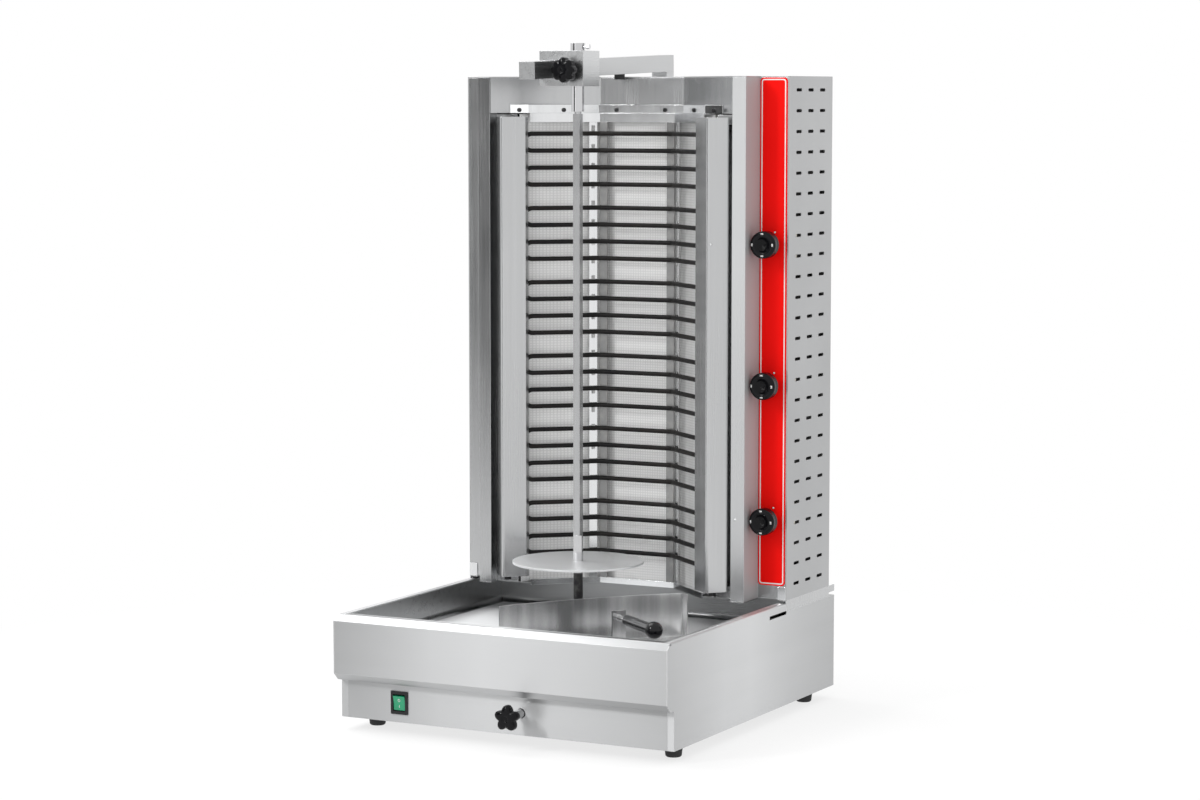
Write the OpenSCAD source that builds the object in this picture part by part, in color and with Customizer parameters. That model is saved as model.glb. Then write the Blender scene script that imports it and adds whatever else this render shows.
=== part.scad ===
// Electric skewer grill: a heated tower on a base with a drip pan, and a turning spit.
// Millimetres, Z up, X to the right, Y to the back. The modules work in plan from the
// fascia's front plane (Y = 0) and placed() moves them so that the whole is centred.

/* [Base] */
// Width across the base and the tower
width = 512; // [500:1:530]
// Depth of the base from the fascia to its back
base_depth = 548; // [544:1:570]
// Height of the base's rim above the ground
rim_height = 163; // [158:1:170]
// Height of the rubber feet
foot_height = 18; // [14:1:22]
// Diameter of a foot
foot_diameter = 25; // [20:1:32]
// Distance of the feet from the side of the base
foot_inset = 26; // [20:1:40]
// Thickness of the base's steel
base_sheet = 1.5; // [1.2:0.1:2]
// Width of the rim along the sides and the front
rim_width = 12; // [10:1:15]
// Height at which the fascia turns in under itself
fascia_low = 72; // [68:1:76]
// How far the lower front panel stands back from the fascia
panel_setback = 20.65; // [17:0.05:24]
// Height of the drip pan's floor
pan_floor = 118; // [116:1:122]
// Length of the drip pan from front to back
pan_length = 428; // [415:1:435]
// Radius of the cove round the drip pan's floor
pan_cove = 10; // [6:1:13]
// Thickness of the drip pan's steel
pan_sheet = 1; // [0.8:0.1:1.2]

/* [Tower] */
// Height of the tower's top above the ground
tower_height = 900; // [890:1:915]
// How far the tower's front stands behind the fascia
tower_front = 377.6; // [374:0.1:381]
// Depth of the tower's sides
tower_depth = 150.6; // [145:0.1:156]
// Thickness of the tower's steel
tower_sheet = 1.2; // [1:0.1:1.5]
// Height of the top fascia
fascia_height = 52; // [48:1:56]
// Height of the rail that frames the heater's top
frame_height = 13; // [11:0.5:15]
// Height of the seam between base and tower above the rim
seam_rise = 3.6; // [3:0.1:5]
// Length of a vent slot
slot_length = 19; // [14:1:24]
// Height of a vent slot
slot_width = 4.5; // [3:0.5:6]
// Distance from one row of vent slots to the next
slot_pitch = 28.9; // [26:0.1:32]
// Distance from one column of vent slots to the next
slot_spacing = 40.8; // [36:0.2:44]
// Height of the red control panel's lower end above the seam
panel_rise = 20.4; // [19:0.1:30]

/* [Controls] */
// Diameter of a control knob
knob_diameter = 38; // [32:1:39]
// Depth of a control knob
knob_depth = 16.5; // [14:0.5:20]
// Distance of a control knob's back from the tower's front
knob_stand = 22; // [14:0.5:24]
// Height of the upper control knob
knob_high = 667.5; // [650:0.5:690]
// Height of the middle control knob
knob_mid = 471; // [450:0.5:490]
// Height of the lower control knob
knob_low = 281; // [262:0.1:292]
// Distance of the rocker switch's middle from the left side of the base
switch_x = 93; // [76:1:106]
// Width of the switch's bezel
switch_width = 26; // [22:1:30]
// Height of the switch's bezel
switch_height = 32; // [28:1:36]
// Angle by which the rocker leans
rocker_lean = 7; // [5:1:9]

/* [Heater] */
// Half the width of the heater's middle facet
facet_half = 60; // [58:1:62]
// How far the heater's rail stands behind the tower's front
heater_setback = 39.9; // [37:0.1:42]
// Angle between the heater's middle facet and a wing
wing_angle = 41; // [39:0.5:43]
// Width of the control column beside the tower's post
control_width = 43.9; // [42:0.1:48]
// Height of the heater's rails
rail_height = 8.5; // [7:0.5:10]
// Number of heating elements
element_count = 6; // [4:1:6]
// Distance from one heating element to the next
element_pitch = 106.6; // [104:0.1:108]
// Distance from one pass of an element to the next
pass_pitch = 24.3; // [22:0.1:25]
// Diameter of a heating element
rod_diameter = 6.5; // [5.5:0.5:7.5]
// Width of the straps behind the heating elements
strap_width = 12; // [10:1:14]
// Width of an end cover's inner face
cover_face = 35.1; // [33:0.1:37]
// Width of an end cover's outer face
cover_side = 31.1; // [29:0.1:33]
// Gap between an end cover and the tower's post
cover_gap = 7; // [5:0.5:10]
// Radius of the end cover's nose
nose_radius = 5; // [3:0.5:8]
// Width of the tower's post
post_width = 20; // [17:1:23]

/* [Drive] */
// Diameter of the guide rails under the pan
guide_diameter = 12; // [10:1:14]
// Distance between the guide rails
guide_spacing = 120; // [112:1:130]
// Thickness of the brackets that carry the guide rails
guide_bracket = 15; // [10:1:18]
// Length of each slide bush under the carriage
bush_length = 24; // [20:1:28]
// Width of the gearbox
gearbox_width = 80; // [72:1:86]
// Depth of the gearbox
gearbox_depth = 68; // [60:1:72]
// Diameter of the motor
motor_diameter = 40; // [34:1:42]
// Length of the motor
motor_length = 62; // [50:1:64]
// Height of the mast's lower bracket above the ground
bracket_low = 66; // [50:1:75]
// Height of the mast's middle bracket above the ground
bracket_mid = 118; // [100:1:122]
// Height of a mast bracket
bracket_height = 26; // [20:1:28]
// Width of a mast bracket's plate
bracket_width = 64; // [56:1:76]
// Distance of the cable gland from the side of the base
gland_inset = 76; // [60:1:90]
// Height of the cable gland above the ground
gland_z = 60; // [50:1:80]

/* [Spit] */
// Distance of the spit's axis behind the fascia
spit_y = 236; // [232:1:240]
// Side of the square spit bar
bar_side = 10; // [8:1:12]
// Diameter of the spit's disc
disc_diameter = 184; // [170:1:200]
// Thickness of the spit's disc
disc_thickness = 3; // [2:0.5:4]
// Height of the disc's top above the ground
disc_height = 225; // [215:1:235]
// Diameter of the drive shaft and the hub
shaft_diameter = 14; // [12:0.5:16]
// Length of the hub
hub_length = 53; // [48:1:60]
// Travel of the spit towards the front
travel_front = 50; // [30:1:60]
// Travel of the spit towards the heater
travel_back = 18; // [10:1:20]

/* [Arm] */
// Side of the square arm and mast tubes
arm_side = 24; // [20:1:26]
// Wall of the square tubes
arm_wall = 2; // [1.5:0.5:3]
// Distance of the arm's middle to the left of the spit
arm_offset = 33; // [31:1:36]
// Height of the arm's middle over the tower's top at the spit
arm_rise = 9.7; // [9:0.1:12]
// Slope of the arm towards the back
arm_tilt = 1.86; // [1:0.02:2.4]
// Length of the arm in front of the spit
arm_front = 86; // [80:1:95]
// Length of the arm behind the spit
arm_back = 343; // [338:1:350]
// Height of the block round the arm
block_height = 48.5; // [46:0.5:54]
// Depth of the block round the arm
block_depth = 48; // [42:1:54]
// Diameter of the sleeve that holds the spit's top
sleeve_diameter = 17.6; // [16:0.2:19]

/* [Knobs and scoop] */
// Diameter of the star knob on the block
star_diameter = 35; // [30:1:40]
// Diameter of the star knob on the adjusting rod
lobe_diameter = 36; // [30:1:40]
// Diameter of the adjusting rod
rod_size = 12; // [10:1:13]
// Distance of the adjusting rod to the right of the middle
rod_x = 26.7; // [24:0.1:30]
// Height of the adjusting rod above the ground
rod_z = 48; // [46:1:50]
// How far the adjusting knob stands in front of the fascia
knob_reach = 24; // [20:1:30]
// Height of the scoop's wall
scoop_height = 62; // [50:1:70]
// Length of the scoop's wall
scoop_length = 279; // [270:1:285]
// Depth of the scoop's floor
scoop_depth = 100; // [90:1:104]
// How far the scoop's wall bulges
scoop_bulge = 10.6; // [6:0.2:14]
// Height of the scoop's handle over its floor
handle_height = 47; // [42:1:50]
// Length of the scoop's grip
grip_length = 76; // [60:1:90]
// Diameter of the scoop's grip
grip_diameter = 16; // [13:1:18]
// Diameter of the ball on the scoop's handle
ball_diameter = 24; // [20:1:28]

/* [Hidden] */
$fn = 48;
steel = "gainsboro";
dark = "dimgray";
black = "black";
half = width / 2;
clear = 0.3;
rest_gap = 0.2;
running = 0.05;
seam = rim_height + seam_rise;
notch = rim_height - 11.7;
tower_back = tower_front + tower_depth;
sheet_top = tower_height - base_sheet;
inner = half - base_sheet;
arm_z = tower_height + arm_rise;
mast_front = spit_y + arm_back - arm_side;
mast_rear = spit_y + arm_back;
middle = (mast_rear - knob_reach) / 2;
floor_top = foot_height + base_sheet;
pan_front = 2 * rim_width;
pan_half = half - rim_width;
pan_top = rim_height - base_sheet;
band_low = tower_height - fascia_height;
frame_low = band_low - frame_height;
cover_low = seam + 13.4;
cover_high = band_low - 5;
heater_y = tower_front + heater_setback;

// The wings take the width that the middle facet, the covers and the posts leave over.
cover_plan = [-3 + cover_face * cos(36) + cover_side * cos(46),
    -18.5 - cover_face * sin(36) + cover_side * sin(46)];
wing_length = (half - control_width - post_width - cover_gap - cover_plan[0] - facet_half)
    / cos(wing_angle);

// Points on the heater's folded front, d behind the rail's face and len along a wing.
function bend_at(d) = [facet_half + d * tan(wing_angle / 2), heater_y + d];
function wing_at(d, len) = [
    facet_half + len * cos(wing_angle) + d * sin(wing_angle),
    heater_y - len * sin(wing_angle) + d * cos(wing_angle)
];
function flip(p) = [-p[0], p[1]];

rail_end = wing_at(0, wing_length);
cover_in = rail_end + [-3, -18.5];
cover_nose = cover_in + cover_face * [cos(36), -sin(36)];
cover_out = rail_end + cover_plan;
post_in = cover_out + [cover_gap, -4.5];
post_out = post_in + [post_width, 1.5];
post_back = post_in + [0, 22];
fascia_bend = [facet_half + 7, heater_y + 15.5];
band_bend = [facet_half + 8, heater_y + 11.5];
band_corner = rail_end + [2, 0.5];
band_end = band_corner + [28.6, -3.5];
panel_x = (post_out[0] + half) / 2 - 1;

// A folded sheet in plan or in section: the path offset to its left by t.
function unit(v) = v / norm(v);
function left(v) = [-v[1], v[0]];
function mitre(p, i) = let (
    a = i > 0 ? unit(p[i] - p[i - 1]) : unit(p[1] - p[0]),
    b = i < len(p) - 1 ? unit(p[i + 1] - p[i]) : a,
    n = unit(left(a) + left(b))) n / (n * left(a));
function shifted(p, t) = [for (i = [0:len(p) - 1]) p[i] + t * mitre(p, i)];
function reversed(p) = [for (i = [len(p) - 1:-1:0]) p[i]];
function sheet(p, t) = concat(p, reversed(shifted(p, t)));

module placed() {
    translate([0, -middle, 0]) children();
}

module block_at(low, high) {
    translate(low) cube(high - low);
}

module upright(z0, z1) {
    translate([0, 0, z0]) linear_extrude(z1 - z0) children();
}

// Stands a section drawn in Y and Z across the width from x0 to x1.
module across(x0, x1) {
    translate([x0, 0, 0]) rotate([90, 0, 90]) linear_extrude(x1 - x0) children();
}

// Runs a section drawn in X and Z along the depth from y0 to y1.
module along(y0, y1) {
    translate([0, y1, 0]) rotate([90, 0, 0]) linear_extrude(y1 - y0) children();
}

module rod_y(x, z, y0, y1, d) {
    translate([x, y1, z]) rotate([90, 0, 0]) cylinder(h = y1 - y0, d = d);
}

module pair() {
    children();
    mirror([1, 0, 0]) children();
}

module slot_shape(long, high) {
    square([long - high, high], center = true);
    for (s = [-1, 1]) translate([s * (long - high) / 2, 0]) circle(d = high);
}

// Base

fascia_path = [[pan_front, rim_height], [rim_width, rim_height], [0, rim_height - 8],
    [0, fascia_low + 10], [10, fascia_low], [panel_setback + base_sheet, fascia_low]];
rim_round = 2 * base_sheet;

module base_side() {
    cut_x = rim_width * rim_round / 8;
    color(steel) placed() {
        across(inner, half) difference() {
            polygon([[panel_setback, foot_height], [panel_setback, fascia_low], [10, fascia_low],
                [0, fascia_low + 10], [0, rim_height - 8], [rim_width - cut_x, rim_height - rim_round],
                [tower_front, rim_height - rim_round], [tower_front, notch], [base_depth, notch],
                [base_depth, foot_height]]);
            translate([tower_front - 56, notch - 4]) square([57, 5]);
        }
        along(rim_width, tower_front) {
            translate([half - rim_round, rim_height - rim_round]) intersection() {
                difference() {
                    circle(rim_round);
                    circle(rim_round - base_sheet);
                }
                square(rim_round);
            }
            translate([pan_half, pan_top]) square([rim_width - rim_round, base_sheet]);
        }
        block_at([half - 10, panel_setback, foot_height],
            [inner, panel_setback + base_sheet, fascia_low]);
    }
}

module base_side_right() {
    base_side();
}

module base_side_left() {
    mirror([1, 0, 0]) base_side();
}

module front_fascia() {
    color(steel) placed() difference() {
        across(-inner, inner) polygon(sheet(fascia_path, base_sheet));
        pair() block_at([pan_half, rim_width, pan_top - 2], [half, pan_front + 1, rim_height + 1]);
    }
}

module lower_front_panel() {
    color(steel) placed() difference() {
        block_at([10 - half, panel_setback, foot_height],
            [half - 10, panel_setback + base_sheet, fascia_low]);
        rod_y(rod_x, rod_z, panel_setback - 1, panel_setback + base_sheet + 1, rod_size + 1.5);
        translate([switch_x - half, panel_setback, switch_z])
            cube([switch_width - 4, 10, switch_height - 4], center = true);
    }
}

switch_z = (foot_height + fascia_low) / 2 + 0.5;

module base_back() {
    color(steel) placed() difference() {
        union() {
            block_at([-inner, base_depth - base_sheet, foot_height], [inner, base_depth, notch]);
            block_at([-inner, tower_back, notch - base_sheet],
                [inner, base_depth - base_sheet, notch]);
        }
        rod_y(gland_x, gland_z, base_depth - 5, base_depth + 1, 16 + 2 * running);
    }
}

gland_x = half - gland_inset;

module base_floor() {
    color(steel) placed() upright(foot_height, floor_top) difference() {
        translate([-inner, panel_setback + base_sheet])
            square([2 * inner, base_depth - panel_setback - 2 * base_sheet]);
        for (x = [-130, 130], i = [0:7]) translate([x, 190 + 26 * i]) slot_shape(90, 6);
    }
}

// The solid that fills a tray with a rounded floor edge of radius r.
module tray(x, y0, y1, z0, z1, r) {
    intersection() {
        along(y0, y1) tray_section(-x, x, z0, z1, r);
        across(-x, x) tray_section(y0, y1, z0, z1, r);
    }
}

module tray_section(a, b, z0, z1, r) {
    translate([a, z0 + r]) square([b - a, z1 - z0 - r]);
    translate([a + r, z0]) square([b - a - 2 * r, r]);
    for (x = [a + r, b - r]) translate([x, z0 + r]) circle(r);
}

shaft_gap = 4.5;
slot_half = shaft_diameter / 2 + shaft_gap;
pan_back = pan_front + pan_length;

module pan_slot(grow) {
    y0 = spit_y - travel_front;
    y1 = spit_y + travel_back;
    translate([-slot_half - grow, y0]) square([2 * (slot_half + grow), y1 - y0]);
    for (y = [y0, y1]) translate([0, y]) circle(slot_half + grow);
}

module drip_pan() {
    color("silver") placed() difference() {
        union() {
            difference() {
                tray(pan_half + pan_sheet, pan_front - pan_sheet, pan_back + pan_sheet,
                    pan_floor - pan_sheet, pan_top, pan_cove + pan_sheet);
                tray(pan_half, pan_front, pan_back, pan_floor, pan_top + 1, pan_cove);
            }
            difference() {
                block_at([rim_round - half + clear, rim_width + 2, pan_top - pan_sheet],
                    [half - rim_round - clear, pan_back + 10, pan_top]);
                block_at([-pan_half, pan_front, pan_top - 2], [pan_half, pan_back, pan_top + 1]);
            }
            upright(pan_floor - pan_sheet, pan_floor + 12) pan_slot(pan_sheet);
        }
        upright(pan_floor - 5, pan_floor + 13) pan_slot(0);
    }
}

module feet() {
    color(black) placed() for (s = [-1, 1], y = [72, base_depth - 48])
        translate([s * (half - foot_inset), y, 0]) rotate_extrude() polygon([[0, 0],
            [foot_diameter / 2 - 3, 0], [foot_diameter / 2 - 1.5, 1.5],
            [foot_diameter / 2, foot_height - 5], [foot_diameter / 2, foot_height],
            [0, foot_height]]);
}

// Rocker switch

module switch_bezel() {
    color(black) placed() translate([switch_x - half, panel_setback, switch_z]) difference() {
        union() {
            translate([-switch_width / 2, -2, -switch_height / 2])
                cube([switch_width, 2, switch_height]);
            translate([-(switch_width - 4) / 2 + 0.1, 0, -(switch_height - 4) / 2 + 0.1])
                cube([switch_width - 4.2, 26, switch_height - 4.2]);
        }
        translate([-(switch_width - 7) / 2, -3, -(switch_height - 9) / 2])
            cube([switch_width - 7, 17, switch_height - 9]);
    }
}

// The rocker rolls about the middle of its round back.
module switch_rocker() {
    r = switch_height / 2 - 6.1;
    wide = switch_width - 8;
    color("seagreen") placed() translate([switch_x - half, panel_setback + 4, switch_z])
        rotate([rocker_lean, 0, 0]) difference() {
            union() {
                block_at([-wide / 2, -7.2, -r], [wide / 2, 0.5, r]);
                intersection() {
                    translate([-wide / 2, 0, 0]) rotate([0, 90, 0]) cylinder(h = wide, r = r);
                    block_at([-wide, 0, -r - 1], [wide, 7, r + 1]);
                }
            }
            translate([-wide / 2 - 1, -58.4, 0]) rotate([0, 90, 0]) cylinder(h = wide + 2, r = 53.4);
        }
}

// Drive below the pan

rail_x = guide_spacing / 2;
rail_z = floor_top + 2 * guide_diameter + 1.5;
plate_z = rail_z + guide_diameter;
guide_front = 0.38 * spit_y;
guide_back = 1.7 * spit_y;
drive_top = pan_floor - pan_sheet - 5;

module guide_rails() {
    color(steel) placed() for (s = [-1, 1]) {
        rod_y(s * rail_x, rail_z, guide_front, guide_back, guide_diameter);
        for (y = [guide_front + 4, guide_back - guide_bracket - 4])
            block_at([s * rail_x - guide_bracket, y, floor_top],
                [s * rail_x + guide_bracket, y + guide_bracket, plate_z + 1]);
    }
}

bush_reach = guide_diameter + 1;
carriage_front = 52;
carriage_back = 54;
bush_front = spit_y - carriage_front + 4;
bush_back = spit_y + carriage_back - 4 - bush_length;

module slide_bushes() {
    color("goldenrod") placed() for (s = [-1, 1], y = [bush_front, bush_back]) difference() {
        block_at([s * rail_x - bush_reach, y, rail_z - guide_diameter],
            [s * rail_x + bush_reach, y + bush_length, plate_z]);
        rod_y(s * rail_x, rail_z, y - 1, y + bush_length + 1, guide_diameter + 2 * running);
    }
}

plate_reach = rail_x + bush_reach + 4;
lug_reach = 13;
lug_depth = 18;
lug_drop = 11;

module carriage_plate() {
    color(dark) placed() difference() {
        union() {
            block_at([-plate_reach, spit_y - carriage_front, plate_z],
                [plate_reach, spit_y + carriage_back, plate_z + 3]);
            block_at([rod_x - lug_reach, spit_y - carriage_front, rod_z - lug_drop],
                [rod_x + lug_reach, spit_y - carriage_front + lug_depth, plate_z]);
        }
        rod_y(rod_x, rod_z, spit_y - carriage_front - 1, spit_y - carriage_front + lug_depth + 1,
            rod_size + 2 * running);
    }
}

// The gearbox's middle, to the right of the spit and behind it.
gearbox_x = 6;
gearbox_y = spit_y + 2;
gearbox_back = gearbox_y + gearbox_depth / 2;
shaft_seat = 25;

module gearbox() {
    color("gray") placed() difference() {
        block_at([gearbox_x - gearbox_width / 2, gearbox_y - gearbox_depth / 2, plate_z + 3],
            [gearbox_x + gearbox_width / 2, gearbox_back, drive_top - 8]);
        translate([0, spit_y, plate_z + shaft_seat])
            cylinder(h = drive_top - plate_z, d = shaft_diameter + 2 * running);
    }
}

motor_x = gearbox_x + 12;
motor_z = (plate_z + drive_top - 5) / 2;

module motor() {
    color(dark) placed() {
        rod_y(motor_x, motor_z, gearbox_back, gearbox_back + motor_length, motor_diameter);
        rod_y(motor_x, motor_z, gearbox_back + motor_length, gearbox_back + motor_length + 6,
            motor_diameter - 10);
    }
}

module shaft_bearing() {
    color(steel) placed() translate([0, spit_y, 0]) difference() {
        union() {
            translate([0, 0, drive_top - 8]) cylinder(h = 3, d = 44);
            translate([0, 0, drive_top - 5]) cylinder(h = 5, d = 28);
        }
        translate([0, 0, drive_top - 9]) cylinder(h = 20, d = shaft_diameter + 2 * running);
    }
}

module adjuster_rod() {
    color(steel) placed() rod_y(rod_x, rod_z, -2, spit_y - 34, rod_size);
}

// A star of n round lobes with hollows between them, d across.
module star(n, d, lobe) {
    difference() {
        union() {
            circle(d * 0.36);
            for (i = [0:n - 1]) rotate(360 * i / n + 90) translate([d / 2 - lobe, 0]) circle(lobe);
            for (i = [0:n - 1]) rotate(360 * i / n + 90) translate([0, -lobe])
                square([d / 2 - lobe, 2 * lobe]);
        }
        for (i = [0:n - 1]) rotate(360 * (i + 0.5) / n + 90)
            translate([d * (n > 6 ? 0.53 : 0.58), 0]) circle(d * (n > 6 ? 0.075 : 0.16));
    }
}

// A star knob whose domed face looks to the front, drawn with its back at the origin.
module star_knob(n, d, lobe, thick, boss) {
    intersection() {
        rotate([90, 0, 0]) linear_extrude(thick) star(n, d, lobe);
        translate([0, 2.4 * d - thick, 0]) sphere(r = 2.4 * d, $fn = 96);
    }
    rotate([-90, 0, 0]) cylinder(h = boss, d = d * 0.45);
}

module adjuster_knob() {
    color(black) placed() difference() {
        translate([rod_x, -knob_reach + 14, rod_z]) star_knob(5, lobe_diameter, 6, 14, 8);
        rod_y(rod_x, rod_z, -2 - 8, 1, rod_size * 0.5);
    }
}

module cable_gland() {
    color(black) placed() {
        rod_y(gland_x, gland_z, base_depth - 8, base_depth, 16);
        translate([gland_x, base_depth + 7, gland_z]) rotate([90, 0, 0])
            cylinder(h = 7, d = 25, $fn = 6);
        difference() {
            rod_y(gland_x, gland_z, base_depth + 7, base_depth + 19, 19);
            rod_y(gland_x, gland_z, base_depth + 9, base_depth + 20, 9);
        }
    }
}

module terminal_block() {
    color("ivory") placed() difference() {
        block_at([gland_x - 30, base_depth - 60, floor_top],
            [gland_x + 30, base_depth - 42, floor_top + 18]);
        for (i = [0:5]) translate([gland_x - 25 + 10 * i, base_depth - 51, floor_top + 10])
            cylinder(h = 9, d = 6);
    }
}

// Tower

module tower_plinth() {
    color(steel) placed() {
        pair() {
            block_at([inner, tower_front, notch], [half, tower_back, seam]);
            block_at([inner, tower_back, seam - 9.6], [half, base_depth, seam]);
            block_at([inner - 10, tower_front + 1.4, seam - base_sheet],
                [inner, tower_back - base_sheet, seam]);
        }
        block_at([-inner, tower_back - base_sheet, notch - base_sheet], [inner, tower_back, seam]);
    }
}

function outline(d) = concat([[-inner, tower_back - tower_sheet], [-inner, tower_front],
    flip(post_out + [0, tower_front - post_out[1]]), flip(post_out), flip(post_in)],
    d, [post_in, post_out, post_out + [0, tower_front - post_out[1]],
    [inner, tower_front], [inner, tower_back - tower_sheet]]);

module tower_floor() {
    color(steel) placed() upright(seam, seam + base_sheet) polygon(outline([
        flip(post_back), flip(wing_at(1.5, wing_length)), flip(bend_at(1.5)), bend_at(1.5),
        wing_at(1.5, wing_length), post_back]));
}

module back_panel() {
    color(steel) placed() difference() {
        block_at([-inner, tower_back - tower_sheet, seam], [inner, tower_back, tower_height]);
        along(tower_back - 3, tower_back + 1) for (x = [-4:4], z = [0:3])
            if (abs(x) > 0) translate([x * 44 + sign(x) * 8, seam + 50 + 26 * z])
                slot_shape(30, slot_width);
        along(tower_back - 3, tower_back + 1) for (x = [-4:4], z = [0:3])
            if (abs(x) > 0) translate([x * 44 + sign(x) * 8, tower_height - 40 - 26 * z])
                slot_shape(30, slot_width);
    }
}

module vented_side() {
    rows = floor((tower_height - 19 - seam - 18) / slot_pitch);
    color(steel) placed() across(inner, half) difference() {
        translate([tower_front, seam]) square([tower_depth, tower_height - seam]);
        for (i = [0:rows], j = [-1:1])
            translate([tower_front + tower_depth / 2 - 0.5 + j * slot_spacing,
                tower_height - 19 - i * slot_pitch]) slot_shape(slot_length, slot_width);
    }
}

module side_panel_right() {
    vented_side();
}

module side_panel_left() {
    mirror([1, 0, 0]) vented_side();
}

post_path = [[inner, tower_front], post_out + [0, tower_front - post_out[1]], post_out, post_in,
    post_back];

module folded_front() {
    upright(seam + base_sheet, sheet_top) polygon(sheet(post_path, -tower_sheet));
    upright(seam + base_sheet, frame_low + 11.5) translate(post_back - [33, 0])
        square([33 + tower_sheet, tower_sheet]);
}

module front_panel_right() {
    color(steel) placed() difference() {
        folded_front();
        for (z = [knob_high, knob_mid, knob_low])
            rod_y(panel_x, z, tower_front - 1, tower_front + 5, stem + 1);
    }
}

module front_panel_left() {
    color(steel) placed() mirror([1, 0, 0]) folded_front();
}

module top_plate() {
    color(steel) placed() upright(sheet_top, tower_height)
        polygon(outline([flip(fascia_bend), fascia_bend]));
}

module top_fascia() {
    end = post_in + [-1, 0.8];
    color(steel) placed() upright(band_low, sheet_top)
        polygon(sheet([end, fascia_bend, flip(fascia_bend), flip(end)], -tower_sheet));
}

module fascia_band() {
    color(steel) placed() {
        upright(band_low, band_low + 12) polygon(sheet([band_end, band_corner, band_bend,
            flip(band_bend), flip(band_corner), flip(band_end)], -1));
    }
}

module band_screw(p, turn) {
    translate([p[0], p[1], band_low + 4.5]) rotate([0, 0, turn]) rotate([90, 0, 0]) {
        cylinder(h = 1.6, d = 6);
        translate([0, 0, 1.6]) cylinder(h = 0.9, d = 4);
    }
}

module band_screws() {
    slope = atan2(band_bend[1] - band_corner[1], band_corner[0] - band_bend[0]);
    along_wing = (band_corner + band_bend) / 2;
    color(steel) placed() pair() {
        band_screw([facet_half * 0.65, band_bend[1]], 0);
        band_screw(along_wing, -slope);
        band_screw((band_corner + band_end) / 2, -7);
    }
}

module tower_lugs() {
    color(steel) placed() pair()
        block_at([half - 13, tower_front - base_sheet, seam + 0.4], [half - 0.5, tower_front, seam + 19.4]);
}

module control_panel() {
    color("red") placed() along(tower_front - 1, tower_front) difference() {
        x0 = post_out[0] + 0.5;
        wide = half - 2.5 - x0;
        high = tower_height - 2 - seam - panel_rise;
        translate([x0, seam + panel_rise]) {
            translate([0, 5]) square([wide, high - 10]);
            translate([5, 0]) square([wide - 10, high]);
            for (x = [5, wide - 5], z = [5, high - 5]) translate([x, z]) circle(5);
        }
        for (z = [knob_high, knob_mid, knob_low]) translate([panel_x, z]) circle(d = stem + 1);
    }
}

stem = 8;

module rotary_switches() {
    color("ivory") placed() for (z = [knob_high, knob_mid, knob_low]) difference() {
        union() {
            block_at([panel_x - 20, tower_front + tower_sheet + 2, z - 20],
                [panel_x + 20, tower_front + tower_sheet + 34, z + 20]);
            rod_y(panel_x, z, tower_front + tower_sheet, tower_front + tower_sheet + 2, 20);
        }
        rod_y(panel_x, z, tower_front, tower_front + tower_sheet + 22, stem + 2 * running);
    }
}

// A round knob with a dished face, a rounded rim and a pointer groove that looks up at rest,
// on a hub that stands off the panel and a stem that runs into its switch.
module control_knob(z) {
    r = knob_diameter / 2;
    color(black) placed() translate([panel_x, tower_front - knob_stand, z]) rotate([90, 0, 0]) {
        difference() {
            rotate_extrude() {
                square([r - 4, knob_depth]);
                square([r, knob_depth - 4]);
                translate([r - 4, knob_depth - 4]) circle(4);
            }
            translate([0, 0, knob_depth + 13.5]) sphere(r = 19.5, $fn = 96);
            translate([-0.8, r - 5.5, knob_depth - 1.2]) cube([1.6, 8, 3]);
        }
        translate([0, 0, -20 - knob_stand]) cylinder(h = 20.5 + knob_stand, d = stem);
        translate([0, 0, 1.2 - knob_stand]) cylinder(h = knob_stand - 1, d = 16);
    }
}

module knob_top() {
    control_knob(knob_high);
}

module knob_middle() {
    control_knob(knob_mid);
}

module knob_bottom() {
    control_knob(knob_low);
}

// Heater

module facet_sheet(front, back, len, z0, z1) {
    upright(z0, z1) polygon([wing_at(front, len), bend_at(front), flip(bend_at(front)),
        flip(wing_at(front, len)), flip(wing_at(back, len)), flip(bend_at(back)), bend_at(back),
        wing_at(back, len)]);
}

rail_low = seam - 2.1;

module lower_rail() {
    color(steel) placed() {
        facet_sheet(0, 1.5, wing_length, rail_low, rail_low + rail_height);
        facet_sheet(1.5, 11, wing_length, rail_low + rail_height - 1.5, rail_low + rail_height);
    }
}

module upper_rail() {
    color(steel) placed() {
        facet_sheet(0, 1.5, wing_length, frame_low, band_low);
        facet_sheet(1.5, 30, wing_length, band_low - 1.5, band_low);
    }
}

module reflector() {
    color("white") placed()
        facet_sheet(12, 12.8, wing_length + 12, seam + base_sheet, band_low - 1.5);
}

module insulation() {
    color("ivory") placed()
        facet_sheet(12.8 + rest_gap, 36, wing_length, seam + base_sheet, band_low - 1.5);
}

rod_front = -4;
strap_face = rod_front + rod_diameter / 2 + clear;

module strap_at(x, wide, thick) {
    translate([x, heater_y + strap_face, rail_low + rail_height])
        cube([wide, thick, frame_low - rail_low - rail_height]);
}

module straps() {
    color("black") placed() pair()
        strap_at(facet_half - strap_width + strap_face * tan(wing_angle / 2), strap_width, 1.5);
}

module on_wing(d, len) {
    p = wing_at(d, len);
    translate([p[0], p[1], 0]) rotate([0, 0, -wing_angle]) children();
}

module slotted_strips() {
    high = frame_low - rail_low - rail_height;
    color(steel) placed() pair() on_wing(strap_face, 4) translate([0, 0, rail_low + rail_height])
        difference() {
            cube([strap_width, 1.2, high]);
            along(-1, 3) for (i = [0:element_count * 4 - 1])
                translate([strap_width / 2, frame_low - high + 20
                    + i * (high - 40) / (element_count * 4 - 1)]) square([5, 9], center = true);
        }
}

rod_bend = 14;
wing_run = wing_length - 4;
lap = 0.5;
swell = 0.05;

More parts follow.
